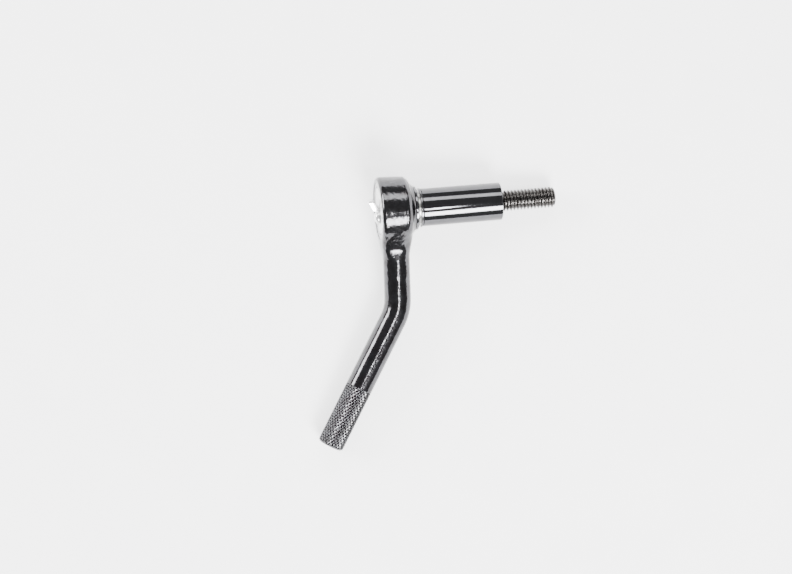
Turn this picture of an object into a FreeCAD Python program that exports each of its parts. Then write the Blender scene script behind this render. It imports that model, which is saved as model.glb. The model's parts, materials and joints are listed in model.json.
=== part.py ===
import FreeCAD, Part
import math
import os
import Sketcher

V = FreeCAD.Vector
doc = FreeCAD.newDocument("ratchet_crank_handle")

# ---------------------------------------------------------------------------
# Driving dimensions, in millimetres and degrees. Stations called *_at are
# distances along the spindle axis, counted from the head's cover-side face.
# ---------------------------------------------------------------------------
sheet = doc.addObject("Spreadsheet::Sheet", "Dimensions")
DIMS = [
    # forged head
    ("head_radius", 15.5), ("head_lip", 0.9), ("head_lip_radius", 14.8),
    ("rim_end_at", 12.5), ("rim_end_radius", 14.9), ("slope_one_at", 13.9), ("slope_one_radius", 13.5),
    ("slope_two_at", 15.2), ("slope_two_radius", 11.6),
    ("head_width", 16.1), ("head_nose_radius", 10.6),
    ("cover_bore_radius", 12.75), ("cover_bore_end_at", 3.3),
    ("ring_slot_radius", 13.4), ("ring_slot_start_at", 0.2), ("ring_slot_end_at", 1.3),
    ("tooth_tip_radius", 11.1), ("tooth_root_radius", 12.0), ("teeth", 36),
    ("tooth_space_mouth", 0.8), ("tooth_space_floor", 0.15),
    ("relief_start_at", 11.9), ("relief_radius", 12.2), ("chamber_end_at", 12.7),
    ("bush_radius", 8.6),
    # neck and shank
    ("neck_a_off", 8.0), ("neck_a_centre", 7.8), ("neck_a_half", 7.45), ("neck_a_tall", 12.2),
    ("neck_b_off", 13.0), ("neck_b_centre", 7.5), ("neck_b_half", 7.1), ("neck_b_tall", 9.2),
    ("neck_c_off", 18.0), ("neck_c_centre", 7.1), ("neck_c_half", 6.8), ("neck_c_tall", 6.9),
    ("neck_d_off", 23.5), ("neck_d_centre", 6.94),
    ("bar_radius", 6.1), ("bend_off", 45.7), ("bend_at", 6.25),
    ("grip_end_off", 105.8), ("grip_end_back", 29.2), ("bend_radius", 21.0),
    ("grip_chamfer", 0.8),
    # journal bush, thrust washer, retaining ring, cover
    ("bush_bore_radius", 7.05), ("flange_radius", 10.0), ("flange_start_at", 16.1),
    ("flange_end_at", 17.7), ("flange_bevel", 0.35),
    ("thrust_start_at", 12.4), ("thrust_inner", 7.3), ("thrust_outer", 10.6),
    ("ring_start_at", 0.25), ("ring_end_at", 1.25), ("ring_inner", 10.75), ("ring_outer", 13.3),
    ("ring_gap_degrees", 24.0), ("ring_gap_turn", 118.0),
    ("cover_face_at", 0.4), ("cover_step_at", 1.32), ("cover_back_at", 2.72),
    ("cover_boss_radius", 10.6), ("cover_radius", 12.45), ("shaft_hole_radius", 2.26),
    # spindle
    ("drum_start_at", 2.8), ("drum_end_at", 12.35), ("drum_radius", 10.8),
    ("journal_radius", 7.0), ("journal_end_at", 18.8), ("tang_end_at", 30.0),
    ("tang_side", 9.525), ("tang_bevel", 0.8),
    ("barrel_bore_radius", 2.95), ("barrel_bore_end_at", 9.7),
    ("pocket_inner_off", 5.3), ("pocket_outer_off", 13.0), ("pocket_half", 6.3),
    ("pocket_end_at", 10.2), ("pin_radius", 1.0), ("pin_end_at", 12.0), ("pin_start_at", 2.85),
    ("pawl_pivot_off", 8.1), ("pawl_bore_radius", 1.04), ("pawl_start_at", 3.0),
    ("pawl_end_at", 10.0), ("pawl_swing", 12.0),
    ("tang_ball_at", 24.6), ("tang_ball_radius", 1.8), ("tang_ball_proud", 0.42),
    ("tang_hole_radius", 1.85), ("tang_hole_floor", 2.3),
    ("tang_coil_radius", 1.3), ("tang_wire_radius", 0.22), ("tang_coil_pitch", 0.75),
    # selector
    ("selector_off", 2.8), ("dome_radius", 2.6), ("dome_top", 2.35), ("dome_base_at", 0.62),
    ("neck_radius", 2.2), ("barrel_radius", 2.9), ("barrel_start_at", 2.8), ("barrel_end_at", 9.6),
    ("plunger_at", 6.5), ("plunger_bore_radius", 0.95), ("plunger_bore_floor", 1.6),
    ("plunger_radius", 0.9), ("plunger_tip", 3.35), ("plunger_tail", 1.75),
    ("plunger_coil_radius", 0.62), ("plunger_wire_radius", 0.15), ("plunger_coil_pitch", 0.52),
    ("lever_seat_at", 0.35), ("lever_skin", 0.62), ("lever_hub_radius", 3.3),
    # sleeve, washer and stud
    ("washer_start_at", 18.85), ("washer_end_at", 19.6), ("washer_inner", 6.8), ("washer_outer", 9.0),
    ("sleeve_start_at", 19.7), ("sleeve_end_at", 56.4), ("sleeve_radius", 8.625),
    ("sleeve_bevel", 0.3), ("socket_side", 9.61), ("socket_end_at", 31.5),
    ("tapped_start_at", 44.0), ("drill_tip_at", 41.4),
    ("stud_radius", 4.7625), ("stud_start_at", 44.6), ("stud_end_at", 81.7),
    ("stud_bevel", 1.1), ("stud_neck_radius", 4.0), ("stud_neck_end_at", 57.8),
    # how the crank lies on a bench
    ("spindle_dip", 8.190), ("handle_dip", 8.033),
    ("origin_x", -22.746), ("origin_y", 45.946), ("origin_z", 16.529),
]
for row, (alias, value) in enumerate(DIMS, start=1):
    sheet.set("A%d" % row, alias)
    sheet.set("B%d" % row, str(value))
    sheet.setAlias("B%d" % row, alias)
doc.recompute()


def D(alias):
    return float(getattr(sheet, alias))


def value(c):
    """A coordinate is 0, an alias, or an alias with a minus sign before it."""
    if c == 0:
        return 0.0
    return -D(c[1:]) if c.startswith("-") else D(c)


def cell(c):
    return "-Dimensions." + c[1:] if c.startswith("-") else "Dimensions." + c


def new_body(name):
    b = doc.addObject("PartDesign::Body", name)
    b.Label = name
    return b


def new_sketch(b, name, role="XY_Plane", offset=None):
    sk = b.newObject("Sketcher::SketchObject", name)
    for f in b.Origin.OriginFeatures:
        if f.Role == role:
            sk.AttachmentSupport = [(f, "")]
    sk.MapMode = "FlatFace"
    if offset is not None:
        if isinstance(offset, str):
            sk.setExpression("AttachmentOffset.Base.z", cell(offset))
        else:
            sk.AttachmentOffset = FreeCAD.Placement(V(0, 0, offset), FreeCAD.Rotation())
    return sk


def outline(sk, points):
    """Closed polyline whose corners are bound to cells of the sheet."""
    xy = [(value(px), value(py)) for px, py in points]
    n = len(xy)
    for i in range(n):
        a, c = xy[i], xy[(i + 1) % n]
        sk.addGeometry(Part.LineSegment(V(a[0], a[1], 0), V(c[0], c[1], 0)), False)
    for i in range(n):
        sk.addConstraint(Sketcher.Constraint("Coincident", i, 2, (i + 1) % n, 1))
    for i, (px, py) in enumerate(points):
        if px == 0:
            sk.addConstraint(Sketcher.Constraint("PointOnObject", i, 1, -2))
        else:
            k = sk.addConstraint(Sketcher.Constraint("DistanceX", -1, 1, i, 1, value(px)))
            sk.setExpression("Constraints[%d]" % k, cell(px))
        if py == 0:
            sk.addConstraint(Sketcher.Constraint("PointOnObject", i, 1, -1))
        else:
            k = sk.addConstraint(Sketcher.Constraint("DistanceY", -1, 1, i, 1, value(py)))
            sk.setExpression("Constraints[%d]" % k, cell(py))
    return sk


def outline_numbers(sk, xy):
    n = len(xy)
    for i in range(n):
        a, c = xy[i], xy[(i + 1) % n]
        sk.addGeometry(Part.LineSegment(V(a[0], a[1], 0), V(c[0], c[1], 0)), False)
    for i in range(n):
        sk.addConstraint(Sketcher.Constraint("Coincident", i, 2, (i + 1) % n, 1))
    return sk


def circle(sk, radius, cx=0, cy=0):
    g = sk.addGeometry(Part.Circle(V(value(cx), value(cy), 0), V(0, 0, 1), value(radius)), False)
    k = sk.addConstraint(Sketcher.Constraint("Radius", g, value(radius)))
    sk.setExpression("Constraints[%d]" % k, cell(radius))
    if cx == 0 and cy == 0:
        sk.addConstraint(Sketcher.Constraint("Coincident", g, 3, -1, 1))
        return g
    for kind, c, axis in (("DistanceX", cx, -2), ("DistanceY", cy, -1)):
        if c == 0:
            sk.addConstraint(Sketcher.Constraint("PointOnObject", g, 3, axis))
        else:
            k = sk.addConstraint(Sketcher.Constraint(kind, -1, 1, g, 3, value(c)))
            sk.setExpression("Constraints[%d]" % k, cell(c))
    return g


def turned(b, name, points):
    """A solid of revolution about the body's X axis."""
    sk = outline(new_sketch(b, name + "_profile"), points)
    f = b.newObject("PartDesign::Revolution", name)
    f.Profile = sk
    f.ReferenceAxis = (sk, ["H_Axis"])
    f.Angle = 360
    doc.recompute()
    return f


def bored(b, name, points):
    """Material taken out by revolution about the body's X axis."""
    before = b.Shape.Volume
    sk = outline(new_sketch(b, name + "_profile"), points)
    f = b.newObject("PartDesign::Groove", name)
    f.Profile = sk
    f.ReferenceAxis = (sk, ["H_Axis"])
    f.Angle = 360
    doc.recompute()
    if not b.Shape.Volume < before - 1e-3:
        raise SystemExit(name + " took nothing out")
    return f


def pocket(b, name, sk, length, reversed_=False, midplane=False):
    before = b.Shape.Volume
    f = b.newObject("PartDesign::Pocket", name)
    f.Profile = sk
    f.Type = 0
    f.Reversed = reversed_
    f.Midplane = midplane
    if isinstance(length, str):
        f.setExpression("Length", length)
    else:
        f.Length = length
    doc.recompute()
    if not b.Shape.Volume < before - 1e-4:
        raise SystemExit(name + " took nothing out")
    return f


def pad(b, name, sk, length, midplane=False, reversed_=False):
    f = b.newObject("PartDesign::Pad", name)
    f.Profile = sk
    f.Type = 0
    f.Midplane = midplane
    f.Reversed = reversed_
    if isinstance(length, str):
        f.setExpression("Length", length)
    else:
        f.Length = length
    doc.recompute()
    return f


nodes = []          # (object, offset of its own frame inside the assembly frame)

# ---------------------------------------------------------------------------
# Handle: head, neck, bent shank and grip in one forging
# ---------------------------------------------------------------------------
handle = new_body("ratchet_handle")
turned(handle, "head_blank", [
    (0, 0), (0, "head_lip_radius"), ("head_lip", "head_radius"), ("rim_end_at", "rim_end_radius"),
    ("slope_one_at", "slope_one_radius"), ("slope_two_at", "slope_two_radius"),
    ("head_width", "head_nose_radius"), ("head_width", 0)])
sections = []
for key in ("a", "b", "c"):
    sk = new_sketch(handle, "neck_section_" + key, "XZ_Plane", "neck_%s_off" % key)
    cx, half, tall = D("neck_%s_centre" % key), D("neck_%s_half" % key), D("neck_%s_tall" % key)
    if tall >= half:
        sk.addGeometry(Part.Ellipse(V(cx, tall, 0), V(cx - half, 0, 0), V(cx, 0, 0)), False)
    else:
        sk.addGeometry(Part.Ellipse(V(cx + half, 0, 0), V(cx, tall, 0), V(cx, 0, 0)), False)
    sections.append(sk)
sk = new_sketch(handle, "neck_section_d", "XZ_Plane", "neck_d_off")
circle(sk, "bar_radius", "neck_d_centre", 0)
sections.append(sk)
doc.recompute()
loft = handle.newObject("PartDesign::AdditiveLoft", "neck")
loft.Profile = sections[0]
loft.Sections = sections[1:]
loft.Ruled = False
doc.recompute()

# centreline of the shank: straight, one tangent arc, straight
p0 = V(D("neck_d_centre"), -D("neck_d_off") + 0.0, 0)
p1 = V(D("bend_at"), -D("bend_off"), 0)
p2 = V(-D("grip_end_back"), -D("grip_end_off"), 0)
u = (p0 - p1).normalize()
w = (p2 - p1).normalize()
half_turn = (math.pi - u.getAngle(w)) / 2
tangent = D("bend_radius") * math.tan(half_turn)
t0, t1 = p1 + u * tangent, p1 + w * tangent
bis = (u + w).normalize()
centre = p1 + bis * (D("bend_radius") / math.cos(half_turn))
mid = centre - bis * D("bend_radius")
spine = new_sketch(handle, "shank_line", "XY_Plane")
spine.addGeometry(Part.LineSegment(p0, t0), False)
spine.addGeometry(Part.Arc(t0, mid, t1), False)
spine.addGeometry(Part.LineSegment(t1, p2), False)
doc.recompute()
shank = handle.newObject("PartDesign::AdditivePipe", "shank")
shank.Profile = sections[3]
shank.Spine = spine
doc.recompute()
print("handle volume with shank", handle.Shape.Volume)

end_edges = []
for i, e in enumerate(handle.Shape.Edges, start=1):
    if abs(e.Length - 2 * math.pi * D("bar_radius")) < 0.05 and (e.CenterOfMass - p2).Length < 0.2:
        end_edges.append("Edge%d" % i)
if end_edges:
    ch = handle.newObject("PartDesign::Chamfer", "grip_end_bevel")
    ch.Base = (handle.Tip if handle.Tip != ch else shank, end_edges)
    ch.Size = D("grip_chamfer")
    ch.setExpression("Size", "Dimensions.grip_chamfer")
    doc.recompute()

bored(handle, "chamber", [
    (0, 0), (0, "cover_bore_radius"), ("cover_bore_end_at", "cover_bore_radius"),
    ("cover_bore_end_at", "tooth_tip_radius"), ("chamber_end_at", "tooth_tip_radius"),
    ("chamber_end_at", "bush_radius"), ("head_width", "bush_radius"), ("head_width", 0)])
bored(handle, "ring_slot", [
    ("ring_slot_start_at", "tooth_tip_radius"), ("ring_slot_start_at", "ring_slot_radius"),
    ("ring_slot_end_at", "ring_slot_radius"), ("ring_slot_end_at", "tooth_tip_radius")])
bored(handle, "tooth_relief", [
    ("relief_start_at", "bush_radius"), ("relief_start_at", "relief_radius"),
    ("chamber_end_at", "relief_radius"), ("chamber_end_at", "bush_radius")])
# one tooth space, 5 degrees off the line to the shank, then all the way round
step = 360.0 / D("teeth")


def polar(r, t):
    return (er[0] * r + et[0] * t, er[1] * r + et[1] * t)


slope = (D("tooth_space_mouth") - D("tooth_space_floor")) / (D("tooth_root_radius") - D("tooth_tip_radius"))
inner = D("tooth_tip_radius") - 0.5
# sketch x runs along Y and sketch y along Z, so the shank side is -x
ang = math.radians(180 - step / 2)
er, et = (math.cos(ang), math.sin(ang)), (-math.sin(ang), math.cos(ang))
space = [polar(D("tooth_root_radius"), -D("tooth_space_floor")), polar(D("tooth_root_radius"), D("tooth_space_floor")),
         polar(inner, D("tooth_space_mouth") + 0.5 * slope), polar(inner, -D("tooth_space_mouth") - 0.5 * slope)]
sk = outline_numbers(new_sketch(handle, "tooth_space_profile", "YZ_Plane", "cover_bore_end_at"), space)
doc.recompute()
tooth = pocket(handle, "tooth_space", sk, "Dimensions.relief_start_at - Dimensions.cover_bore_end_at + 0.3", True)
before = handle.Shape.Volume
pp = handle.newObject("PartDesign::PolarPattern", "tooth_ring")
pp.Originals = [tooth]
for f in handle.Origin.OriginFeatures:
    if f.Role == "X_Axis":
        pp.Axis = (f, [""])
pp.Angle = 360
pp.Occurrences = int(D("teeth"))
handle.Tip = pp
doc.recompute()
print("tooth ring took", before - handle.Shape.Volume)
nodes.append((handle, V(0, 0, 0)))

# ---------------------------------------------------------------------------
# Pieces that stay with the handle
# ---------------------------------------------------------------------------
bush = new_body("journal_bush")
turned(bush, "bush_blank", [
    ("chamber_end_at", "bush_bore_radius"), ("chamber_end_at", "bush_radius"),
    ("flange_start_at", "bush_radius"), ("flange_start_at", "flange_radius"),
    ("flange_end_at", "flange_radius"), ("flange_end_at", "bush_bore_radius")])
nodes.append((bush, V(0, 0, 0)))

thrust = new_body("thrust_washer")
turned(thrust, "washer_blank", [
    ("thrust_start_at", "thrust_inner"), ("thrust_start_at", "thrust_outer"),
    ("chamber_end_at", "thrust_outer"), ("chamber_end_at", "thrust_inner")])
nodes.append((thrust, V(0, 0, 0)))

ring = new_body("retaining_ring")
turned(ring, "ring_blank", [
    ("ring_start_at", "ring_inner"), ("ring_start_at", "ring_outer"),
    ("ring_end_at", "ring_outer"), ("ring_end_at", "ring_inner")])
g0 = math.radians(D("ring_gap_turn") - D("ring_gap_degrees") / 2)
g1 = math.radians(D("ring_gap_turn") + D("ring_gap_degrees") / 2)
far = 20.0
sk = outline_numbers(new_sketch(ring, "gap_profile", "YZ_Plane"), [
    (0.0, 0.0), (far * math.cos(g0), far * math.sin(g0)), (far * math.cos(g1), far * math.sin(g1))])
pocket(ring, "gap", sk, 10.0, False, True)
nodes.append((ring, V(0, 0, 0)))

# ---------------------------------------------------------------------------
# Pieces that turn with the spindle
# ---------------------------------------------------------------------------
spindle = new_body("drive_spindle")
turned(spindle, "spindle_blank", [
    ("drum_start_at", 0), ("drum_start_at", "drum_radius"), ("drum_end_at", "drum_radius"),
    ("drum_end_at", "journal_radius"), ("journal_end_at", "journal_radius"), ("journal_end_at", 0)])
sk = new_sketch(spindle, "tang_profile", "YZ_Plane", "journal_end_at")
hs = D("tang_side") / 2
bv = D("tang_bevel")
outline_numbers(sk, [(-hs + bv, -hs), (hs - bv, -hs), (hs, -hs + bv), (hs, hs - bv),
                     (hs - bv, hs), (-hs + bv, hs), (-hs, hs - bv), (-hs, -hs + bv)])
pad(spindle, "tang", sk, "Dimensions.tang_end_at - Dimensions.journal_end_at")
sk = new_sketch(spindle, "barrel_bore_profile", "YZ_Plane", "drum_start_at")
circle(sk, "barrel_bore_radius", "-selector_off", 0)
pocket(spindle, "barrel_bore", sk, "Dimensions.barrel_bore_end_at - Dimensions.drum_start_at", True)
sk = new_sketch(spindle, "pawl_pocket_profile", "YZ_Plane", "drum_start_at")
outline(sk, [("-pocket_inner_off", "-pocket_half"), ("-pocket_inner_off", "pocket_half"),
             ("-pocket_outer_off", "pocket_half"), ("-pocket_outer_off", "-pocket_half")])
pocket(spindle, "pawl_pocket", sk, "Dimensions.pocket_end_at - Dimensions.drum_start_at", True)
sk = new_sketch(spindle, "pin_hole_profile", "YZ_Plane", "pocket_end_at")
circle(sk, "pin_radius", "-pawl_pivot_off", 0)
pocket(spindle, "pin_hole", sk, "Dimensions.pin_end_at - Dimensions.pocket_end_at", True)
sk = new_sketch(spindle, "ball_hole_profile", "XY_Plane", "tang_hole_floor")
sk.setExpression("AttachmentOffset.Base.z", "-Dimensions.tang_hole_floor")
circle(sk, "tang_hole_radius", "tang_ball_at", 0)
pocket(spindle, "ball_hole", sk, 12.0, True)
nodes.append((spindle, V(0, 0, 0)))

cover = new_body("cover_plate")
turned(cover, "cover_blank", [
    ("cover_face_at", 0), ("cover_face_at", "cover_boss_radius"), ("cover_step_at", "cover_boss_radius"),
    ("cover_step_at", "cover_radius"), ("cover_back_at", "cover_radius"), ("cover_back_at", 0)])
sk = new_sketch(cover, "shaft_hole_profile", "YZ_Plane")
circle(sk, "shaft_hole_radius", "-selector_off", 0)
pocket(cover, "shaft_hole", sk, 10.0, False, True)
nodes.append((cover, V(0, 0, 0)))

pin = new_body("pawl_pin")
turned(pin, "pin_blank", [
    ("pin_start_at", 0), ("pin_start_at", "pin_radius"), ("pin_end_at", "pin_radius"), ("pin_end_at", 0)])
nodes.append((pin, V(0, -D("pawl_pivot_off"), 0)))

# pawl: its tip fits the tooth space 25 degrees from the shank when rocked by
# pawl_swing; drawn here in the middle position, about its own pin
def engaged(r, t):
    a = math.radians(25.0)
    return (-math.cos(a) * r + math.sin(a) * t, math.sin(a) * r + math.cos(a) * t)


def rocked_back(p):
    a = -math.radians(D("pawl_swing"))
    y, z = p[0] + D("pawl_pivot_off"), p[1]
    return (y * math.cos(a) - z * math.sin(a), y * math.sin(a) + z * math.cos(a))


tip = [rocked_back(engaged(*q)) for q in
       ((10.62, 1.15), (11.05, 0.64), (11.7, 0.2), (11.7, -0.2), (11.05, -0.64), (10.66, -1.2))]
off = D("pawl_pivot_off")
upper = [(1.85, 0.0), (1.95, 1.7), (2.15, 2.6), (1.5, 4.9)] + tip + [(-2.1, 1.6)]
lower = [(y, -z) for y, z in reversed(upper[1:])]
pawl = new_body("pawl")
sk = outline_numbers(new_sketch(pawl, "pawl_profile", "YZ_Plane", "pawl_start_at"), upper + lower)
pad(pawl, "pawl_blank", sk, "Dimensions.pawl_end_at - Dimensions.pawl_start_at")
sk = new_sketch(pawl, "pawl_bore_profile", "YZ_Plane")
circle(sk, "pawl_bore_radius")
pocket(pawl, "pawl_bore", sk, 40.0, False, True)
nodes.append((pawl, V(0, -off, 0)))

ball = doc.addObject("Part::Sphere", "tang_ball")
ball.Label = "tang_ball"
ball.setExpression("Radius", "Dimensions.tang_ball_radius")
ball_z = D("tang_side") / 2 + D("tang_ball_proud") - D("tang_ball_radius")
nodes.append((ball, V(D("tang_ball_at"), 0, ball_z)))


def coil(name, radius, wire, pitch, length):
    """Open coil spring along its own Z axis, starting at Z = wire radius."""
    helix = Part.makeHelix(pitch, length - 2 * wire, radius)
    prof = Part.Wire([Part.makeCircle(wire, V(radius, 0, 0), V(0, 1, 0))])
    solid = Part.Wire(helix.Edges).makePipeShell([prof], True, True)
    if solid.ShapeType != "Solid":
        solid = Part.Solid(solid)
    solid.translate(V(0, 0, wire))
    o = doc.addObject("Part::Feature", name)
    o.Label = name
    o.Shape = solid
    return o


tang_spring = coil("tang_spring", D("tang_coil_radius"), D("tang_wire_radius"), D("tang_coil_pitch"),
                   D("tang_hole_floor") + ball_z - D("tang_ball_radius") + 0.19)
nodes.append((tang_spring, V(D("tang_ball_at"), 0, -D("tang_hole_floor") + 0.28)))

# ---------------------------------------------------------------------------
# Selector: domed shaft, thumb lever, spring plunger
# ---------------------------------------------------------------------------
shaft = new_body("selector_shaft")
dome_start = -D("dome_top")
sk = new_sketch(shaft, "shaft_profile")
rd, top, base = D("dome_radius"), -D("dome_top") + D("lever_seat_at"), -D("dome_base_at")
prof = [(top, 0.0)]
for i in range(1, 9):
    a = math.radians(90.0 * i / 8)
    prof.append((base + (top - base) * math.cos(a), rd * math.sin(a)))
prof += [(base, D("neck_radius")), (D("barrel_start_at"), D("neck_radius")),
         (D("barrel_start_at"), D("barrel_radius")), (D("barrel_end_at"), D("barrel_radius")),
         (D("barrel_end_at"), 0.0)]
outline_numbers(sk, prof)
rev = shaft.newObject("PartDesign::Revolution", "shaft_blank")
rev.Profile = sk
rev.ReferenceAxis = (sk, ["H_Axis"])
rev.Angle = 360
doc.recompute()
sk = new_sketch(shaft, "plunger_bore_profile", "XZ_Plane", "plunger_bore_floor")
sk.setExpression("AttachmentOffset.Base.z", "-Dimensions.plunger_bore_floor")
circle(sk, "plunger_bore_radius", "plunger_at", 0)
pocket(shaft, "plunger_bore", sk, 8.0, True)
nodes.append((shaft, V(0, -D("selector_off"), 0)))

# lever: side view pulled through, then trimmed to its plan shape
s0 = D("lever_seat_at")
side = doc.addObject("PartDesign::Body", "lever_side")
skin = D("lever_skin")
so = D("selector_off")
sk = outline_numbers(new_sketch(side, "lever_side_profile"), [
    (s0, -3.35), (s0, 4.2), (-0.5, 5.6), (-2.02, 8.2), (-2.9, 8.42), (-4.25, 7.55), (-4.42, 7.05),
    (-2.45, 3.35), (-2.1, 3.0), (-skin, 2.85), (-skin, -3.1), (-skin + 0.25, -3.35)])
pad(side, "lever_side_block", sk, 12.0, True)
plan = doc.addObject("PartDesign::Body", "lever_plan")
pts = []
arc_from, arc_to = math.radians(35.0), math.radians(325.0)
for i in range(0, 25):
    a = arc_from + (arc_to - arc_from) * i / 24.0
    pts.append((D("lever_hub_radius") * math.cos(a), D("lever_hub_radius") * math.sin(a)))
pts += [(4.6, -2.5), (7.4, -3.15), (8.15, -2.75), (8.45, -1.6), (8.5, 0.0),
        (8.45, 1.6), (8.15, 2.75), (7.4, 3.15), (4.6, 2.5)]
sk = outline_numbers(new_sketch(plan, "lever_plan_profile", "YZ_Plane"), pts)
pad(plan, "lever_plan_block", sk, 14.0, True)
plan_bore = new_sketch(plan, "lever_bore_profile", "YZ_Plane")
circle(plan_bore, "neck_radius")
pocket(plan, "lever_bore", plan_bore, 30.0, False, True)
lever = doc.addObject("Part::Common", "reversing_lever")
lever.Label = "reversing_lever"
lever.Base = side
lever.Tool = plan
doc.recompute()
nodes.append((lever, V(0, -D("selector_off"), 0)))

plunger = new_body("pawl_plunger")
pr, ptip, ptail = D("plunger_radius"), D("plunger_tip"), D("plunger_tail")
prof = [(ptail, 0.0), (ptail, pr)]
for i in range(0, 7):
    a = math.radians(90.0 * i / 6)
    prof.append((ptip - pr + pr * math.sin(a), pr * math.cos(a)))
sk = outline_numbers(new_sketch(plunger, "plunger_profile"), prof)
rev = plunger.newObject("PartDesign::Revolution", "plunger_blank")
rev.Profile = sk
rev.ReferenceAxis = (sk, ["H_Axis"])
rev.Angle = 360
doc.recompute()
nodes.append((plunger, V(D("plunger_at"), -D("selector_off"), 0)))

plunger_spring = coil("plunger_spring", D("plunger_coil_radius"), D("plunger_wire_radius"),
                      D("plunger_coil_pitch"), D("plunger_bore_floor") + D("plunger_tail") - 0.55)
nodes.append((plunger_spring, V(D("plunger_at"), -D("selector_off"), 0)))

# ---------------------------------------------------------------------------
# Sleeve, washer and stud
# ---------------------------------------------------------------------------
washer = new_body("spacer_washer")
turned(washer, "washer_blank_two", [
    ("washer_start_at", "washer_inner"), ("washer_start_at", "washer_outer"),
    ("washer_end_at", "washer_outer"), ("washer_end_at", "washer_inner")])
nodes.append((washer, V(0, 0, 0)))

sleeve = new_body("extension_sleeve")
sb = D("sleeve_bevel")
sk = outline_numbers(new_sketch(sleeve, "sleeve_profile"), [
    (D("sleeve_start_at"), 0.0), (D("sleeve_start_at"), D("sleeve_radius") - sb),
    (D("sleeve_start_at") + sb, D("sleeve_radius")), (D("sleeve_end_at") - sb, D("sleeve_radius")),
    (D("sleeve_end_at"), D("sleeve_radius") - sb), (D("sleeve_end_at"), 0.0)])
rev = sleeve.newObject("PartDesign::Revolution", "sleeve_blank")
rev.Profile = sk
rev.ReferenceAxis = (sk, ["H_Axis"])
rev.Angle = 360
doc.recompute()
sk = new_sketch(sleeve, "socket_profile", "YZ_Plane", "sleeve_start_at")
hs = D("socket_side") / 2
outline_numbers(sk, [(-hs, -hs), (hs, -hs), (hs, hs), (-hs, hs)])
pocket(sleeve, "socket", sk, "Dimensions.socket_end_at - Dimensions.sleeve_start_at", True)
bored(sleeve, "tapped_hole", [
    ("drill_tip_at", 0), ("tapped_start_at", "stud_radius"), ("sleeve_end_at", "stud_radius"), ("sleeve_end_at", 0)])
dimple = doc.addObject("Part::Sphere", "dimple_tool")
dimple.setExpression("Radius", "Dimensions.tang_ball_radius + 0.12")
dimple.Placement = FreeCAD.Placement(V(D("tang_ball_at"), 0, ball_z), FreeCAD.Rotation())
cut = doc.addObject("Part::Cut", "extension_sleeve_cut")
cut.Base = sleeve
cut.Tool = dimple
sleeve.Label = "sleeve_turned"
cut.Label = "extension_sleeve"
doc.recompute()
nodes.append((cut, V(0, 0, 0)))

stud = new_body("threaded_stud")
turned(stud, "stud_blank", [
    ("stud_start_at", 0), ("stud_start_at", "stud_radius"), ("sleeve_end_at", "stud_radius"),
    ("sleeve_end_at", "stud_neck_radius"), ("stud_neck_end_at", "stud_neck_radius"),
    ("stud_neck_end_at", "stud_radius"), ("stud_end_at", "stud_radius"), ("stud_end_at", 0)])
edge = ""
for i, e in enumerate(stud.Shape.Edges, start=1):
    if abs(e.CenterOfMass.x - D("stud_end_at")) < 1e-3 and abs(e.Length - 2 * math.pi * D("stud_radius")) < 1e-2:
        edge = "Edge%d" % i
ch = stud.newObject("PartDesign::Chamfer", "stud_point")
ch.Base = (stud.Tip if stud.Tip != ch else ch.BaseFeature, [edge])
ch.setExpression("Size", "Dimensions.stud_bevel")
doc.recompute()
nodes.append((stud, V(0, 0, 0)))

# ---------------------------------------------------------------------------
# How it lies on a bench: the spindle dips towards the stud and the handle dips
# towards its grip, until head rim, stud point and grip touch the surface.
# ---------------------------------------------------------------------------
turn = FreeCAD.Rotation(V(0, 1, 0), D("spindle_dip")).multiply(FreeCAD.Rotation(V(1, 0, 0), D("handle_dip")))
lie = FreeCAD.Placement(V(D("origin_x"), D("origin_y"), D("origin_z")), turn)
own_turn = {
    "pawl_plunger": FreeCAD.Rotation(V(0, 0, 1), -90),
    "plunger_spring": FreeCAD.Rotation(V(1, 0, 0), 90),
}
for o, offset in nodes:
    extra = own_turn.get(o.Label, FreeCAD.Rotation())
    if o.Label == "plunger_spring":
        offset = offset + V(0, D("plunger_bore_floor") - 0.08, 0)
    o.Placement = lie.multiply(FreeCAD.Placement(offset, extra))
doc.recompute()

for o in doc.Objects:
    if "Invalid" in o.State or "Error" in o.State:
        raise SystemExit("failed object: " + o.Name)
os.makedirs("parts", exist_ok=True)
total = None
for o, offset in nodes:
    s = o.Shape
    if s.isNull() or not s.isValid() or len(s.Solids) < 1:
        raise SystemExit("bad shape: " + o.Label)
    box = s.BoundBox
    print("%-18s solids %d volume %9.2f  x %.2f..%.2f y %.2f..%.2f z %.2f..%.2f" % (
        o.Label, len(s.Solids), s.Volume, box.XMin, box.XMax, box.YMin, box.YMax, box.ZMin, box.ZMax))
for o, offset in nodes:
    s = o.Shape
    s.exportStep("parts/" + o.Label + ".step")
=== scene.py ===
import bpy, bmesh, math, json
import numpy as np
from mathutils import Matrix, Vector, noise


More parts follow.
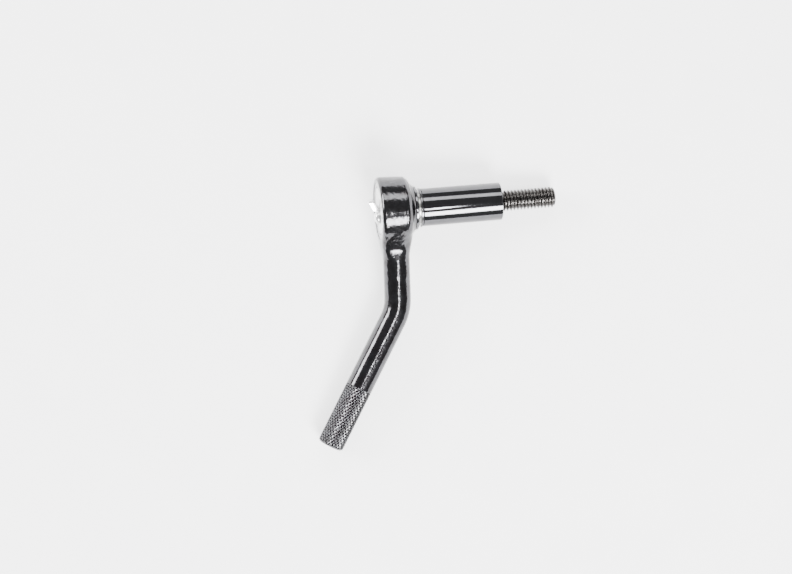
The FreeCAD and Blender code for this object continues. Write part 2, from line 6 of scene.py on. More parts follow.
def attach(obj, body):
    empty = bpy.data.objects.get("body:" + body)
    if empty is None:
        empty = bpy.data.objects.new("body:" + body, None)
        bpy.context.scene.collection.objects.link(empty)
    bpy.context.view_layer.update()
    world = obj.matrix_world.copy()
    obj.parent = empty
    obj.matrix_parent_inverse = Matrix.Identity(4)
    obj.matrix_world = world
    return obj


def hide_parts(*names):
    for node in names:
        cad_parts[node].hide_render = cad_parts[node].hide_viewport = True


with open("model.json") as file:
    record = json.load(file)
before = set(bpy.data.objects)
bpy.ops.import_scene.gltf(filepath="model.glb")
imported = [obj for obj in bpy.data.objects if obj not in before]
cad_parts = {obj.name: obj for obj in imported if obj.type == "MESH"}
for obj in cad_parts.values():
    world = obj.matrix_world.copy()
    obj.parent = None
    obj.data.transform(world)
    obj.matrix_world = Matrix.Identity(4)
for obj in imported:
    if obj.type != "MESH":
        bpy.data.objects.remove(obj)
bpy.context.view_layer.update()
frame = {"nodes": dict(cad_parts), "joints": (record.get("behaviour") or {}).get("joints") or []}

# ---------------------------------------------------------------- local frame
# x along the spindle, y away from the handle, millimetres, from the frame's joints
J = {j["name"]: j for j in frame["joints"]}
AX = Vector(J["spindle_turn"]["axis"]).normalized()
AY = (Vector(J["selector_swing"]["pos_m"]) - Vector(J["pawl_rock"]["pos_m"]))
AY = (AY - AX * AY.dot(AX)).normalized()
AZ = AX.cross(AY).normalized()
ORG = Vector(J["spindle_turn"]["pos_m"]) - AX * 0.008
R = np.array([[AX[i], AY[i], AZ[i]] for i in range(3)])
O = np.array(ORG)


def place(co):
    """local millimetres to row metres"""
    return (np.asarray(co, float) / 1000.0) @ R.T + O


def obj_from(name, verts, faces, smooth=True):
    me = bpy.data.meshes.new(name)
    me.from_pydata([tuple(v) for v in verts], [], [tuple(f) for f in faces])
    me.validate(clean_customdata=False)
    me.update()
    if smooth:
        me.polygons.foreach_set("use_smooth", [True] * len(me.polygons))
    o = bpy.data.objects.new(name, me)
    bpy.context.scene.collection.objects.link(o)
    return o


def grid_faces(rows, cols, start=0):
    f = []
    for i in range(rows - 1):
        a, b = start + i * cols, start + (i + 1) * cols
        for j in range(cols):
            k = (j + 1) % cols
            f.append((a + j, a + k, b + k, b + j))
    return f


def outward(o):
    bm = bmesh.new()
    bm.from_mesh(o.data)
    bmesh.ops.remove_doubles(bm, verts=bm.verts, dist=1e-8)
    bmesh.ops.recalc_face_normals(bm, faces=bm.faces)
    bm.to_mesh(o.data)
    bm.free()
    o.data.update()
    return o


def sharp(o, deg=35.0):
    """keeps edges steeper than deg crisp, the rest smooth"""
    bm = bmesh.new()
    bm.from_mesh(o.data)
    lim = math.radians(deg)
    for e in bm.edges:
        e.smooth = not (len(e.link_faces) == 2 and e.calc_face_angle(0) > lim)
    bm.to_mesh(o.data)
    bm.free()
    return o


def rounded(profile, radius=0.25, steps=4, closed=True):
    """rounds the corners of an (x, r) profile; a corner may give its own radius as a third value"""
    pts, n = [], len(profile)
    for i, p in enumerate(profile):
        rad = p[2] if len(p) > 2 else radius
        b = np.array(p[:2], float)
        if not closed and i in (0, n - 1):
            pts.append(tuple(b)); continue
        a, c = np.array(profile[i - 1][:2], float), np.array(profile[(i + 1) % n][:2], float)
        u, w = a - b, c - b
        lu, lw = np.linalg.norm(u), np.linalg.norm(w)
        if rad <= 0 or lu < 1e-6 or lw < 1e-6:
            pts.append(tuple(b)); continue
        u, w = u / lu, w / lw
        cosang = float(np.clip(u @ w, -1, 1))
        ang = math.acos(cosang)
        if ang > math.radians(176):
            pts.append(tuple(b)); continue
        d = min(rad / math.tan(ang / 2), lu * 0.45, lw * 0.45)
        for k in range(steps + 1):
            s = k / steps
            q = (1 - s) ** 2 * (b + u * d) + 2 * s * (1 - s) * b + s ** 2 * (b + w * d)
            pts.append(tuple(q))
    return pts


def lathe(name, profile, segs=192, centre=(0.0, 0.0), radius_of=None, closed=True):
    """turns an (x, r) loop about the local x axis; a loop that starts and ends on r = 0 is closed by caps"""
    th = np.linspace(0, 2 * math.pi, segs, endpoint=False)
    verts, rows = [], 0
    caps = []
    for (x, r) in profile:
        rr = np.full(segs, r) if radius_of is None else radius_of(x, r, th)
        verts.append(np.stack([np.full(segs, x), centre[0] + rr * np.cos(th), centre[1] + rr * np.sin(th)], 1))
        rows += 1
    faces = grid_faces(rows, segs)
    if closed:
        a, b = (rows - 1) * segs, 0
        for j in range(segs):
            k = (j + 1) % segs
            faces.append((a + j, a + k, b + k, b + j))
    V3 = np.concatenate(verts)
    if not closed:
        n = len(V3)
        V3 = np.concatenate([V3, [[profile[0][0], centre[0], centre[1]], [profile[-1][0], centre[0], centre[1]]]])
        for j in range(segs):
            k = (j + 1) % segs
            faces.append((n, k, j))
            faces.append((n + 1, (rows - 1) * segs + j, (rows - 1) * segs + k))
    return outward(obj_from(name, place(V3), faces))


def apply_mod(o, kind, **kw):
    m = o.modifiers.new("m", kind)
    for k, v in kw.items():
        setattr(m, k, v)
    dg = bpy.context.evaluated_depsgraph_get()
    dg.update()
    me = bpy.data.meshes.new_from_object(o.evaluated_get(dg))
    o.modifiers.clear()
    old = o.data
    o.data = me
    bpy.data.meshes.remove(old)
    return o


def boolean(o, other, op, solver="EXACT"):
    apply_mod(o, "BOOLEAN", object=other, operation=op, solver=solver)
    bpy.data.objects.remove(other)
    return o


# ------------------------------------------------------------------ materials
def base(name, color, rough, metal=1.0):
    m = bpy.data.materials.new(name)
    m.use_nodes = True
    nt = m.node_tree
    b = nt.nodes["Principled BSDF"]
    b.inputs["Base Color"].default_value = (*color, 1)
    b.inputs["Roughness"].default_value = rough
    b.inputs["Metallic"].default_value = metal
    tc = nt.nodes.new("ShaderNodeTexCoord")
    return m, nt, b, tc.outputs["Object"]


def ramp(nt, fac, stops):
    r = nt.nodes.new("ShaderNodeValToRGB")
    el = r.color_ramp.elements
    while len(el) > 1:
        el.remove(el[-1])
    el[0].position, el[0].color = stops[0][0], (*stops[0][1], 1)
    for p, c in stops[1:]:
        e = el.new(p)
        e.color = (*c, 1)
    nt.links.new(fac, r.inputs["Fac"])
    return r.outputs["Color"]


def noise_node(nt, co, scale, detail=4.0, rough=0.55, dist=0.0):
    n = nt.nodes.new("ShaderNodeTexNoise")
    n.inputs["Scale"].default_value = scale
    n.inputs["Detail"].default_value = detail
    n.inputs["Roughness"].default_value = rough
    n.inputs["Distortion"].default_value = dist
    nt.links.new(co, n.inputs["Vector"])
    return n.outputs["Fac"]


def bump(nt, b, pairs):
    last = None
    for h, strength, dist in pairs:
        k = nt.nodes.new("ShaderNodeBump")
        k.inputs["Strength"].default_value = strength
        k.inputs["Distance"].default_value = dist
        nt.links.new(h, k.inputs["Height"])
        if last is not None:
            nt.links.new(last, k.inputs["Normal"])
        last = k.outputs["Normal"]
    nt.links.new(last, b.inputs["Normal"])


def maprange(nt, v, lo, hi, f0=0.0, f1=1.0):
    n = nt.nodes.new("ShaderNodeMapRange")
    n.inputs["From Min"].default_value = f0
    n.inputs["From Max"].default_value = f1
    n.inputs["To Min"].default_value = lo
    n.inputs["To Max"].default_value = hi
    nt.links.new(v, n.inputs["Value"])
    return n.outputs["Result"]


def chrome(name, lo, hi, r0, r1, bumps, tint_scale=260.0):
    m, nt, b, co = base(name, hi, r0)
    n1 = noise_node(nt, co, tint_scale, 6.0, 0.6)
    nt.links.new(ramp(nt, n1, [(0.3, lo), (0.62, hi)]), b.inputs["Base Color"])
    n2 = noise_node(nt, co, 900.0, 4.0, 0.6, 0.4)
    nt.links.new(maprange(nt, n2, r0, r1, 0.3, 0.7), b.inputs["Roughness"])
    bump(nt, b, [(noise_node(nt, co, s, d), st, ds) for s, d, st, ds in bumps])
    return m


# the forged, polished and turned chromes have base colours far darker than chrome plating: painted shade standing in
# for the dark surroundings they reflect; their noise tint is random tone
M = {
    "forged_chrome": chrome("forged_chrome", (0.050, 0.047, 0.048), (0.085, 0.085, 0.09), 0.10, 0.20,
                            [(160.0, 3.0, 0.25, 0.0006), (900.0, 3.0, 0.14, 0.00012)]),
    "polished_chrome": chrome("polished_chrome", (0.080, 0.080, 0.084), (0.095, 0.095, 0.10), 0.07, 0.12,
                              [(1400.0, 2.0, 0.05, 0.00004)]),
    "turned_chrome": chrome("turned_chrome", (0.10, 0.10, 0.105), (0.15, 0.15, 0.155), 0.12, 0.22,
                            [(1400.0, 2.0, 0.08, 0.00006)]),
    # satin chrome is a much lighter copy of the same chrome: painted light that makes the cover plate, selector shaft
    # and lever read white
    "satin_chrome": chrome("satin_chrome", (0.78, 0.78, 0.78), (0.9, 0.9, 0.9), 0.22, 0.34,
                           [(700.0, 3.0, 0.08, 0.00008)]),
    "spring_steel": chrome("spring_steel", (0.32, 0.32, 0.33), (0.5, 0.5, 0.5), 0.2, 0.32,
                           [(900.0, 3.0, 0.1, 0.00006)]),
    "plain_steel": chrome("plain_steel", (0.36, 0.35, 0.34), (0.5, 0.5, 0.49), 0.25, 0.4,
                          [(800.0, 4.0, 0.12, 0.00008)]),
    "dark_stud": chrome("dark_stud", (0.045, 0.041, 0.039), (0.12, 0.115, 0.112), 0.20, 0.34,
                        [(1200.0, 4.0, 0.25, 0.00008)], 420.0),
}


def finish_piece(o, body, node, slot, smooth_deg=35.0):
    sharp(o, smooth_deg)
    o.data.materials.clear()
    o.data.materials.append(M[slot])
    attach(o, body)
    if node:
        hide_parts(node)
    return o


# --------------------------------------------------------------------- handle
BAR = 6.1
BEND = np.array([6.25, -45.7])
END = np.array([-29.2, -105.8])
START = np.array([6.94, -23.5])
u = (START - BEND) / np.linalg.norm(START - BEND)
w = (END - BEND) / np.linalg.norm(END - BEND)
half = (math.pi - math.acos(float(u @ w))) / 2
BR = 21.0
tl = BR * math.tan(half)
T0, T1 = BEND + u * tl, BEND + w * tl
bis = (u + w) / np.linalg.norm(u + w)
CEN = BEND + bis * (BR / math.cos(half))


def path(n_arc=28, step=0.5, grip_start=30.0):
    """points of the shank's centreline with their tangents"""
    P, T = [], []
    d = -u
    L = np.linalg.norm(T0 - START)
    for s in np.arange(0, L, 0.6):
        P.append(START + d * s); T.append(d)
    a0 = math.atan2(*(T0 - CEN)[::-1]); a1 = math.atan2(*(T1 - CEN)[::-1])
    if a1 - a0 > math.pi: a1 -= 2 * math.pi
    if a0 - a1 > math.pi: a1 += 2 * math.pi
    for k in range(n_arc + 1):
        a = a0 + (a1 - a0) * k / n_arc
        p = CEN + BR * np.array([math.cos(a), math.sin(a)])
        t = np.array([-math.sin(a), math.cos(a)]) * (1 if a1 > a0 else -1)
        P.append(p); T.append(t)
    L2 = np.linalg.norm(END - T1)
    for s in np.arange(0.6, L2 - 28.0, 0.6):
        P.append(T1 + w * s); T.append(w)
    return np.array(P), np.array(T)


def smoothstep(a, b, x):
    t = np.clip((x - a) / (b - a), 0, 1)
    return t * t * (3 - 2 * t)


def neck_ring(y, segs):
    """cross-section of the forged neck at local -y: flat-topped, with leaning side facets"""
    # the flat top leaves the round head on its tangent and runs straight down to the bar
    t = float(smoothstep(8.0, 22.5, np.array(y)))
    half_x = 7.45 * (1 - float(smoothstep(12.0, 22.5, np.array(y)))) + BAR * float(smoothstep(12.0, 22.5, np.array(y)))
    line = 12.25 - 0.70 * (y - 9.0)
    half_z = BAR + 0.5 * ((line - BAR) + math.sqrt((line - BAR) ** 2 + 1.6))
    half_z = half_z * (1 - float(smoothstep(19.0, 23.4, np.array(y)))) + BAR * float(smoothstep(19.0, 23.4, np.array(y)))
    cx = 7.55 * (1 - t) + 6.94 * t
    k = 1 - float(smoothstep(16.5, 23.4, np.array(y)))
    th = np.linspace(0, 2 * math.pi, segs, endpoint=False)
    c, s = np.cos(th), np.sin(th)
    e = np.where(c < 0, 2.0 + 2.2 * k, 2.0 + 0.5 * k)
    rr = (np.abs(c) ** e + np.abs(s) ** e) ** (-1.0 / e)
    return np.stack([cx + half_x * rr * c, np.full(segs, -y), half_z * rr * s], 1)


SEG = 96
rings = [neck_ring(y, SEG) for y in np.arange(8.0, 23.4, 0.55)]
P, T = path()
th = np.linspace(0, 2 * math.pi, SEG, endpoint=False)
for p, t in zip(P, T):
    nrm = np.array([-t[1], t[0]])          # points to +x on the way down
    rings.append(np.stack([p[0] + BAR * nrm[0] * np.cos(th), p[1] + BAR * nrm[1] * np.cos(th), BAR * np.sin(th)], 1))
V3 = np.concatenate(rings)
faces = grid_faces(len(rings), SEG)
n = len(V3)
V3 = np.concatenate([V3, [rings[0].mean(0)], [rings[-1].mean(0)]])
for j in range(SEG):
    k = (j + 1) % SEG
    faces.append((n, k, j))
    faces.append((n + 1, (len(rings) - 1) * SEG + j, (len(rings) - 1) * SEG + k))
forging = outward(obj_from("handle_forging", place(V3), faces))

head = lathe("head_blank", rounded([(0.02, 14.5, 0.6), (1.0, 15.47, 1.4), (12.3, 14.88, 2.0), (14.0, 13.3, 0.6),
                                    (14.3, 12.5, 0.3), (15.25, 11.3, 0.8), (16.1, 10.5, 0.2)],
                                   closed=False), 256, closed=False)
boolean(forging, head, "UNION")
# blend head into neck the way a forging does, keep the bar truly round
apply_mod(forging, "REMESH", mode="VOXEL", voxel_size=0.00027, use_smooth_shade=True)


def local_of(me):
    co = np.empty(len(me.vertices) * 3)
    me.vertices.foreach_get("co", co)
    return ((co.reshape(-1, 3) - O) @ R) * 1000.0


def relax(o, weight, steps, lam=0.5):
    me = o.data
    co = np.empty(len(me.vertices) * 3)
    me.vertices.foreach_get("co", co)
    co = co.reshape(-1, 3)
    ed = np.empty(len(me.edges) * 2, dtype=np.int64)
    me.edges.foreach_get("vertices", ed)
    ed = ed.reshape(-1, 2)
    deg = np.bincount(ed.ravel(), minlength=len(co)).astype(float)[:, None]
    for _ in range(steps):
        for f in (lam, -lam * 1.04):
            acc = np.zeros_like(co)
            for c in range(3):
                acc[:, c] = (np.bincount(ed[:, 0], co[ed[:, 1], c], len(co)) + np.bincount(ed[:, 1], co[ed[:, 0], c], len(co)))
            co = co + f * weight[:, None] * (acc / deg - co)
    me.vertices.foreach_set("co", co.ravel())
    me.update()


L3 = local_of(forging.data)
wt = np.ones(len(L3))
relax(forging, wt, 14)
# blend the corner where the neck leaves the head a little more
L3 = local_of(forging.data)
rad = np.hypot(L3[:, 1], L3[:, 2])
junction = np.exp(-((rad - 15.2) / 3.0) ** 2) * (L3[:, 1] < -4)
for _ in range(3):
    me = forging.data
    co = np.empty(len(me.vertices) * 3); me.vertices.foreach_get("co", co); co = co.reshape(-1, 3)
    ed = np.empty(len(me.edges) * 2, dtype=np.int64); me.edges.foreach_get("vertices", ed); ed = ed.reshape(-1, 2)
    deg = np.bincount(ed.ravel(), minlength=len(co)).astype(float)[:, None]
    for _k in range(12):
        acc = np.zeros_like(co)
        for c in range(3):
            acc[:, c] = (np.bincount(ed[:, 0], co[ed[:, 1], c], len(co)) + np.bincount(ed[:, 1], co[ed[:, 0], c], len(co)))
        co = co + 0.6 * junction[:, None] * (acc / deg - co)
    me.vertices.foreach_set("co", co.ravel()); me.update()

# surface: true circle on the bar, true cylinder on the rim, small unevenness in the forging
L3 = local_of(forging.data)
y = -L3[:, 1]
on_arc = None
q = L3[:, :2]
# nearest centreline point of the shank
PP = np.concatenate([P])
from mathutils.kdtree import KDTree
kd = KDTree(len(PP))
for i, p in enumerate(PP):
    kd.insert((p[0], p[1], 0.0), i)
kd.balance()
bar = y > 22.0
idx = np.where(bar)[0]
for i in idx:
    _, k, _ = kd.find((L3[i, 0], L3[i, 1], 0.0))
    p, t = PP[k], T[k]
    along = (L3[i, :2] - p) @ t
    if abs(along) > 0.7:
        continue
    foot = p + t * along
    if k < len(PP) - 1 and np.linalg.norm(PP[k] - CEN) < BR + 0.01 and abs(np.linalg.norm(PP[k] - CEN) - BR) < 0.01:
        d = L3[i, :2] - CEN
        foot = CEN + d / np.linalg.norm(d) * BR
    v = np.array([L3[i, 0] - foot[0], L3[i, 1] - foot[1], L3[i, 2]])
    ln = np.linalg.norm(v)
    if ln < 3.0:
        continue
    s = float(smoothstep(22.0, 27.0, np.array(y[i])))
    new = np.array([foot[0], foot[1], 0.0]) + v / ln * BAR
    L3[i] = L3[i] * (1 - s) + new * s
co = place(L3)
forging.data.vertices.foreach_set("co", co.ravel())
forging.data.update()
# forged unevenness, strongest on the neck, none past the bend
nr = np.empty(len(L3) * 3)
forging.data.vertices.foreach_get("normal", nr)
nr = nr.reshape(-1, 3)
amp = 0.075 * (1 - smoothstep(30.0, 50.0, y)) * (0.45 + 0.55 * smoothstep(4.0, 12.0, y)) + 0.012 * (1 - smoothstep(46.0, 60.0, y))
h = np.array([noise.noise(Vector((a * 0.36, b * 0.36, c * 0.36))) + 0.45 * noise.noise(Vector((a * 1.0 + 7, b * 1.0, c * 1.0)))
              + 0.22 * noise.noise(Vector((a * 2.3 + 3, b * 2.3, c * 2.3 + 5))) for a, b, c in L3])
sink = np.abs(h) * amp
# trimmed flash line left by the forging dies on the head and down both sides of the neck
wob = np.array([0.18 * noise.noise(Vector((b * 0.5, c * 0.5, 2.0))) for a, b, c in L3])
rad2 = np.hypot(L3[:, 1], L3[:, 2])
line = np.exp(-((L3[:, 0] - 11.2 - wob) / 0.16) ** 2) * (rad2 > 13.8) * (y < 9.0)
sink = sink + 0.07 * line
co = place(L3) + nr * (-sink / 1000.0)[:, None]
forging.data.vertices.foreach_set("co", co.ravel())
forging.data.update()

# chamber, ring slot and broached teeth, cut crisp after the blending
def tooth_r(x, r, th):
    if abs(r - 11.1) > 1e-6:
        return np.full(len(th), r)
    ph = ((th - math.pi) / (2 * math.pi) * 36) % 1.0       # a space sits half a pitch off the handle
    d = np.abs(ph - 0.5) * (2 * math.pi * 11.55 / 36)
    return 11.1 + np.clip((0.8 - d) / 0.65, 0, 1) * 0.9


chamber = lathe("chamber_cut", [(-1.0, 13.25), (0.0, 13.0), (0.25, 12.75), (0.26, 12.75), (0.27, 13.4), (1.3, 13.4), (1.3, 12.75), (3.3, 12.75),
                                (3.3, 11.1), (11.9, 11.1), (11.9, 12.2), (12.7, 12.2), (12.7, 8.6), (17.0, 8.6)],
                720, radius_of=tooth_r, closed=False)
boolean(forging, chamber, "DIFFERENCE")


# grip: diamond knurl pressed into the bar, smooth for a short land, bevelled end
def grip():
    L = 30.6
    starts = 26                      # crossing spiral grooves each way
    segs, rows = 26 * 12, 250
    th = np.linspace(0, 2 * math.pi, segs, endpoint=False)
    s = np.concatenate([np.linspace(-0.6, 0.0, 4, endpoint=False), np.linspace(0.0, 29.2, rows), np.linspace(29.35, 30.0, 6)])
    lead = 2 * math.pi * BAR / math.tan(math.radians(32.0))
    verts = []
    for v in s:
        a = (starts * (th / (2 * math.pi) + v / lead)) % 1.0
        b = (starts * (th / (2 * math.pi) - v / lead)) % 1.0
        ga = np.abs(a - 0.5) * 2     # 1 at groove centre
        gb = np.abs(b - 0.5) * 2
        g = np.maximum(ga, gb)
        depth = 0.30 * np.clip((g - 0.22) / 0.78, 0, 1)
        fade = float(np.clip(v / 0.5, 0, 1)) if v < 28 else float(np.clip((29.35 - v) / 0.3, 0, 1))
        r = (BAR - 0.02) - depth * fade
        if v < 0:
            r = np.full(segs, BAR - 0.05)
        if v > 29.2:
            r = np.minimum(r, BAR - (v - 29.2) * 0.95)
        pt = END - w * (30.2 - v)
        nrm = np.array([-w[1], w[0]])
        verts.append(np.stack([pt[0] + r * nrm[0] * np.cos(th), pt[1] + r * nrm[1] * np.cos(th), r * np.sin(th)], 1))
    V3 = np.concatenate(verts)
    f = grid_faces(len(s), segs)
    n = len(V3)
    V3 = np.concatenate([V3, [verts[0].mean(0)], [verts[-1].mean(0)]])
    for j in range(segs):
        k = (j + 1) % segs
        f.append((n, k, j)); f.append((n + 1, (len(s) - 1) * segs + j, (len(s) - 1) * segs + k))
    return outward(obj_from("grip_knurl", place(V3), f))


knurl = grip()
# trim the forging's plain end to where the knurl starts, then join them
cutter_c = END - w * 30.0
bpy.ops.mesh.primitive_cube_add(size=1.0)
cut = bpy.context.object
nrm2 = np.array([-w[1], w[0]])
mid = cutter_c + w * 10.0
rotm = Matrix(((w[0], nrm2[0], 0), (w[1], nrm2[1], 0), (0, 0, 1)))
c8 = []
for dx in (-10.0, 10.0):
    for dy in (-10, 10):
        for dz in (-10, 10):
            c8.append((mid[0] + w[0] * dx + nrm2[0] * dy, mid[1] + w[1] * dx + nrm2[1] * dy, dz))
bpy.data.objects.remove(cut)
cut = outward(obj_from("trim", place(c8), [(0, 1, 3, 2), (4, 6, 7, 5), (0, 4, 5, 1), (2, 3, 7, 6), (0, 2, 6, 4), (1, 5, 7, 3)], False))
boolean(forging, cut, "DIFFERENCE")
boolean(forging, knurl, "UNION")
forging.name = "ratchet_handle_forging"
finish_piece(forging, "handle", "ratchet_handle", "forged_chrome", 32.0)

# ----------------------------------------------------- turned pieces, finely cut
ring = lathe("ring_blank", rounded([(0.25, 10.75, 0.15), (0.25, 13.3, 0.15), (1.25, 13.3, 0.15), (1.25, 10.75, 0.15)]), 256)
g0, g1 = math.radians(118.0 - 12.0), math.radians(118.0 + 12.0)
wedge = [(x, r * math.cos(a), r * math.sin(a)) for x in (-1.0, 3.0) for r, a in ((8.0, (g0 + g1) / 2 - 0.0), (20.0, g0), (20.0, g1))]
wc = np.array(wedge)
wc[0, 1:] = wc[3, 1:] = (0.0, 0.0)
wdg = outward(obj_from("wedge", place(wc), [(0, 1, 2), (3, 5, 4), (0, 3, 4, 1), (1, 4, 5, 2), (2, 5, 3, 0)], False))
boolean(ring, wdg, "DIFFERENCE")
ring.name = "retaining_ring_spring"
finish_piece(ring, "handle", "retaining_ring", "spring_steel")

bush = lathe("journal_bush_flanged", rounded([(12.7, 7.05, 0.1), (12.7, 8.58, 0.1), (16.12, 8.58, 0.02), (16.12, 9.6, 0.05),
                                              (16.45, 9.98, 0.15), (17.35, 9.98, 0.3), (17.68, 9.3, 0.2), (17.68, 7.05, 0.1)]), 224)
finish_piece(bush, "handle", "journal_bush", "turned_chrome")

SO = 2.8
cover = lathe("cover_blank", rounded([(0.4, 0.0, 0), (0.4, 10.58, 0.18), (1.32, 10.6, 0.05), (1.32, 12.45, 0.1), (2.72, 12.45, 0.1), (2.72, 0.0, 0)],
                                     closed=False)[1:-1], 224, closed=False)
hole = lathe("shaft_hole", [(-2.0, 2.26), (5.0, 2.26)], 96, centre=(-SO, 0.0), closed=False)
boolean(cover, hole, "DIFFERENCE")
cover.name = "cover_plate_stepped"
finish_piece(cover, "spindle", "cover_plate", "satin_chrome")

washer = lathe("spacer_washer_turned", rounded([(18.86, 6.82, 0.08), (18.86, 8.95, 0.18), (19.59, 8.95, 0.18), (19.59, 6.82, 0.08)]), 192)
finish_piece(washer, "spindle", "spacer_washer", "turned_chrome")

# sleeve: turned outside, square socket, tapped hole that the stud fills
sleeve = lathe("sleeve_blank", rounded([(19.7, 8.2, 0.15), (20.05, 8.62, 0.25), (56.15, 8.62, 0.18), (56.4, 8.35, 0.12), (56.4, 4.8, 0.05), (44.0, 4.8, 0.05)],
                                       closed=False), 256, closed=False)
hs = 4.805
sq = outward(obj_from("sq", place([(x, yy, zz) for x in (18.0, 31.5) for yy in (-hs, hs) for zz in (-hs, hs)]),
                      [(0, 1, 3, 2), (4, 6, 7, 5), (0, 4, 5, 1), (2, 3, 7, 6), (0, 2, 6, 4), (1, 5, 7, 3)], False))
boolean(sleeve, sq, "DIFFERENCE")
dim = lathe("dimple", [(24.6 + 1.92 * math.cos(a), 1.92 * math.sin(a)) for a in np.linspace(math.pi, 0, 24)][1:-1], 64, centre=(0.0, 3.3825), closed=False)
boolean(sleeve, dim, "DIFFERENCE")
sleeve.name = "extension_sleeve_chrome"
finish_piece(sleeve, "spindle", "extension_sleeve", "polished_chrome")


# stud: a real right-hand helical thread, 16 to the inch, with a neck at the shoulder and a bevelled point
def stud():
    pitch, R0, depth = 1.5875, 4.7425, 0.93
    segs = 120
    th = np.linspace(0, 2 * math.pi, segs, endpoint=False)
    xs = np.concatenate([[44.6, 56.3], np.linspace(56.4, 81.68, 312)])
    verts = []
    for x in xs:
        if x < 56.35:
            r = np.full(segs, 4.74)
        else:
            f = ((x - 56.4) / pitch - th / (2 * math.pi)) % 1.0
            d = np.abs(f - 0.5) * 2                      # 0 at crest, 1 at root
            prof = np.clip((d - 0.14) / 0.66, 0, 1)
            r = R0 - depth * prof
            fade = float(np.clip((x - 57.1) / 1.0, 0, 1))
            r = r * fade + (1 - fade) * np.minimum(r, 4.0)
            lim = R0 - max(0.0, x - 80.4) * 1.0 - max(0.0, x - 81.4) * 2.0
            r = np.minimum(r, lim)
        verts.append(np.stack([np.full(segs, x), r * np.cos(th), r * np.sin(th)], 1))
    V3 = np.concatenate(verts)
    f = grid_faces(len(xs), segs)
    n = len(V3)
    V3 = np.concatenate([V3, [[xs[0], 0, 0], [xs[-1], 0, 0]]])
    for j in range(segs):
        k = (j + 1) % segs
        f.append((n, k, j)); f.append((n + 1, (len(xs) - 1) * segs + j, (len(xs) - 1) * segs + k))
    return outward(obj_from("threaded_stud_coarse", place(V3), f))


finish_piece(stud(), "spindle", "threaded_stud", "dark_stud", 50.0)

# ------------------------------------------------- selector: domed shaft and lever
dome = []
for i in range(1, 19):
    a = math.radians(90.0 * i / 18)
    dome.append((-0.62 + (-2.0 + 0.62) * math.cos(a), 2.58 * math.sin(a)))
dome += [(-0.62, 2.2), (2.8, 2.2), (2.8, 2.9), (9.6, 2.9)]
shaft = lathe("selector_shaft_domed", dome, 128, centre=(-SO, 0.0), closed=False)
bore = None
# cross hole for the plunger
tube = []
ths = np.linspace(0, 2 * math.pi, 48, endpoint=False)
tv = [(6.5 + 0.95 * math.cos(a), yy, 0.95 * math.sin(a)) for yy in (-SO + 1.6, -SO - 6.0) for a in ths]
tf = grid_faces(2, 48) + [tuple(range(48)), tuple(range(95, 47, -1))]
tube = outward(obj_from("cross_hole", place(tv), tf, False))
boolean(shaft, tube, "DIFFERENCE")
finish_piece(shaft, "selector", "selector_shaft", "satin_chrome")


def lever():
    side = [(0.35, -3.3), (0.35, 4.25), (-0.48, 5.62), (-2.0, 8.2), (-2.9, 8.42), (-4.22, 7.55), (-4.4, 7.08),
            (-2.5, 3.42), (-2.1, 3.05), (-0.62, 2.88), (-0.62, -3.05), (-0.4, -3.3)]
    side = rounded([(a, b, 0.28) for a, b in side], steps=3)
    m = len(side)
    vs = [(a, b - SO, z) for z in (-5.0, 5.0) for a, b in side]
    fs = grid_faces(2, m) + [tuple(range(m)), tuple(range(2 * m - 1, m - 1, -1))]
    o = outward(obj_from("reversing_lever_thumb", place(vs), fs, False))
    pts = []
    a0, a1 = math.radians(35), math.radians(325)
    for i in range(49):
        a = a0 + (a1 - a0) * i / 48
        pts.append((3.28 * math.cos(a), 3.28 * math.sin(a)))
    for i in range(1, 9):
        t = i / 9.0
        pts.append((2.69 + 4.4 * t, -(1.88 + 1.2 * t ** 1.3)))
    for i in range(17):
        a = math.radians(-78 + 156 * i / 16)
        pts.append((6.4 + 2.05 * math.cos(a) ** 0.55, 3.1 * math.sin(a)))
    for i in range(8, 0, -1):
        t = i / 9.0
        pts.append((2.69 + 4.4 * t, (1.88 + 1.2 * t ** 1.3)))
    m = len(pts)
    vs = [(x, p - SO, q) for x in (-8.0, 3.0) for p, q in pts]
    fs = grid_faces(2, m) + [tuple(range(m)), tuple(range(2 * m - 1, m - 1, -1))]
    c = outward(obj_from("lever_plan", place(vs), fs, False))
    boolean(o, c, "INTERSECT")
    b = lathe("lever_hole", [(-0.7, 2.205), (3.0, 2.205)], 96, centre=(-SO, 0.0), closed=False)
    boolean(o, b, "DIFFERENCE")
    apply_mod(o, "BEVEL", width=0.00016, segments=3, limit_method="ANGLE", angle_limit=math.radians(38))
    o.data.polygons.foreach_set("use_smooth", [True] * len(o.data.polygons))
    return o


finish_piece(lever(), "selector", "reversing_lever", "satin_chrome", 40.0)

# --------------------------------------------------- hidden pieces keep their CAD form
for name, slot in {"thrust_washer": "plain_steel", "drive_spindle": "plain_steel", "pawl_pin": "plain_steel",
                   "tang_ball": "plain_steel", "tang_spring": "spring_steel", "pawl": "plain_steel",
                   "plunger_spring": "spring_steel", "pawl_plunger": "plain_steel"}.items():
    o = frame["nodes"][name]
    if not o.material_slots:
        o.data.materials.append(M[slot])
    for s in o.material_slots:
        s.material = M[slot]

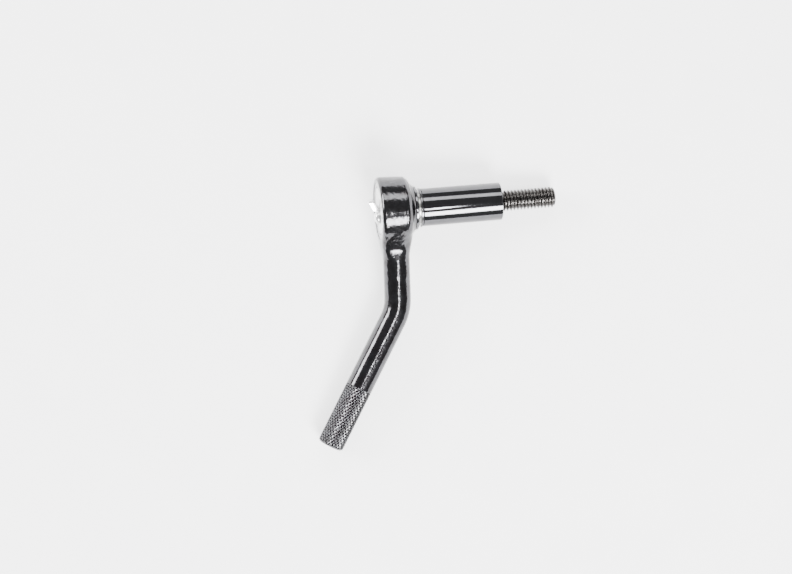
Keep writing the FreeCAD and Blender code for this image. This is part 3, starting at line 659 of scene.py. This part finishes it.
# ----------------------------------------------------------------------- studio
bpy.ops.mesh.primitive_plane_add(size=8.0, location=(0, 0, 0))
floor = bpy.context.object
floor.name = "bench"
fm = bpy.data.materials.new("pale_bench")
fm.use_nodes = True
nt = fm.node_tree
b = nt.nodes["Principled BSDF"]
b.inputs["Roughness"].default_value = 0.8
b.inputs["Specular IOR Level"].default_value = 0.2
b.inputs["Emission Color"].default_value = (1, 1, 1, 1)
b.inputs["Emission Strength"].default_value = 2.0
tc = nt.nodes.new("ShaderNodeTexCoord")
nt.links.new(ramp(nt, noise_node(nt, tc.outputs["Object"], 40.0, 3.0), [(0.3, (0.86, 0.86, 0.87)), (0.7, (0.9, 0.9, 0.9))]), b.inputs["Base Color"])
floor.data.materials.append(fm)

wd = bpy.data.worlds.new("studio")
bpy.context.scene.world = wd
wd.use_nodes = True
nt = wd.node_tree
bg = nt.nodes["Background"]
tcw = nt.nodes.new("ShaderNodeTexCoord")
sep = nt.nodes.new("ShaderNodeSeparateXYZ")
nt.links.new(tcw.outputs["Generated"], sep.inputs[0])
col = ramp(nt, sep.outputs["Z"], [(0.0, (0.50, 0.50, 0.51)), (0.06, (0.40, 0.40, 0.41)), (0.3, (0.34, 0.34, 0.35)), (1.0, (0.34, 0.34, 0.35))])
nt.links.new(col, bg.inputs["Color"])
bg.inputs["Strength"].default_value = 1.0


def softbox(name, loc, size, power, target=(0.0, 0.02, 0.0)):
    l = bpy.data.lights.new(name, "AREA")
    l.shape = "RECTANGLE"
    l.size, l.size_y = size
    l.energy = power
    o = bpy.data.objects.new(name, l)
    bpy.context.scene.collection.objects.link(o)
    o.location = loc
    o.rotation_euler = (Vector(target) - Vector(loc)).to_track_quat("-Z", "Y").to_euler()
    return o


softbox("key_front", (0.35, -1.0, 1.0), (0.7, 0.55), 70.0)
softbox("fill_back", (0.15, 0.92, 0.80), (1.2, 0.40), 11.0)
softbox("strip_right", (0.24, -0.22, 1.0), (0.14, 0.10), 3.0)
softbox("low_left", (-1.00, 0.52, 0.56), (0.75, 0.4), 26.0)

# ----------------------------------------------------------------------- camera
c0 = Vector(place([[0.3, 0.0, 0.0]])[0])
cam = bpy.data.cameras.new("overhead")
co_ = bpy.data.objects.new("overhead", cam)
bpy.context.scene.collection.objects.link(co_)
co_.location = (c0.x + 0.00492, c0.y - 0.0350, 1.5)
co_.rotation_euler = (0.0, 0.0, math.radians(-4.85))
cam.sensor_width = 36.0
cam.lens = 148.7
cam.clip_start, cam.clip_end = 0.05, 30.0
bpy.context.scene.camera = co_
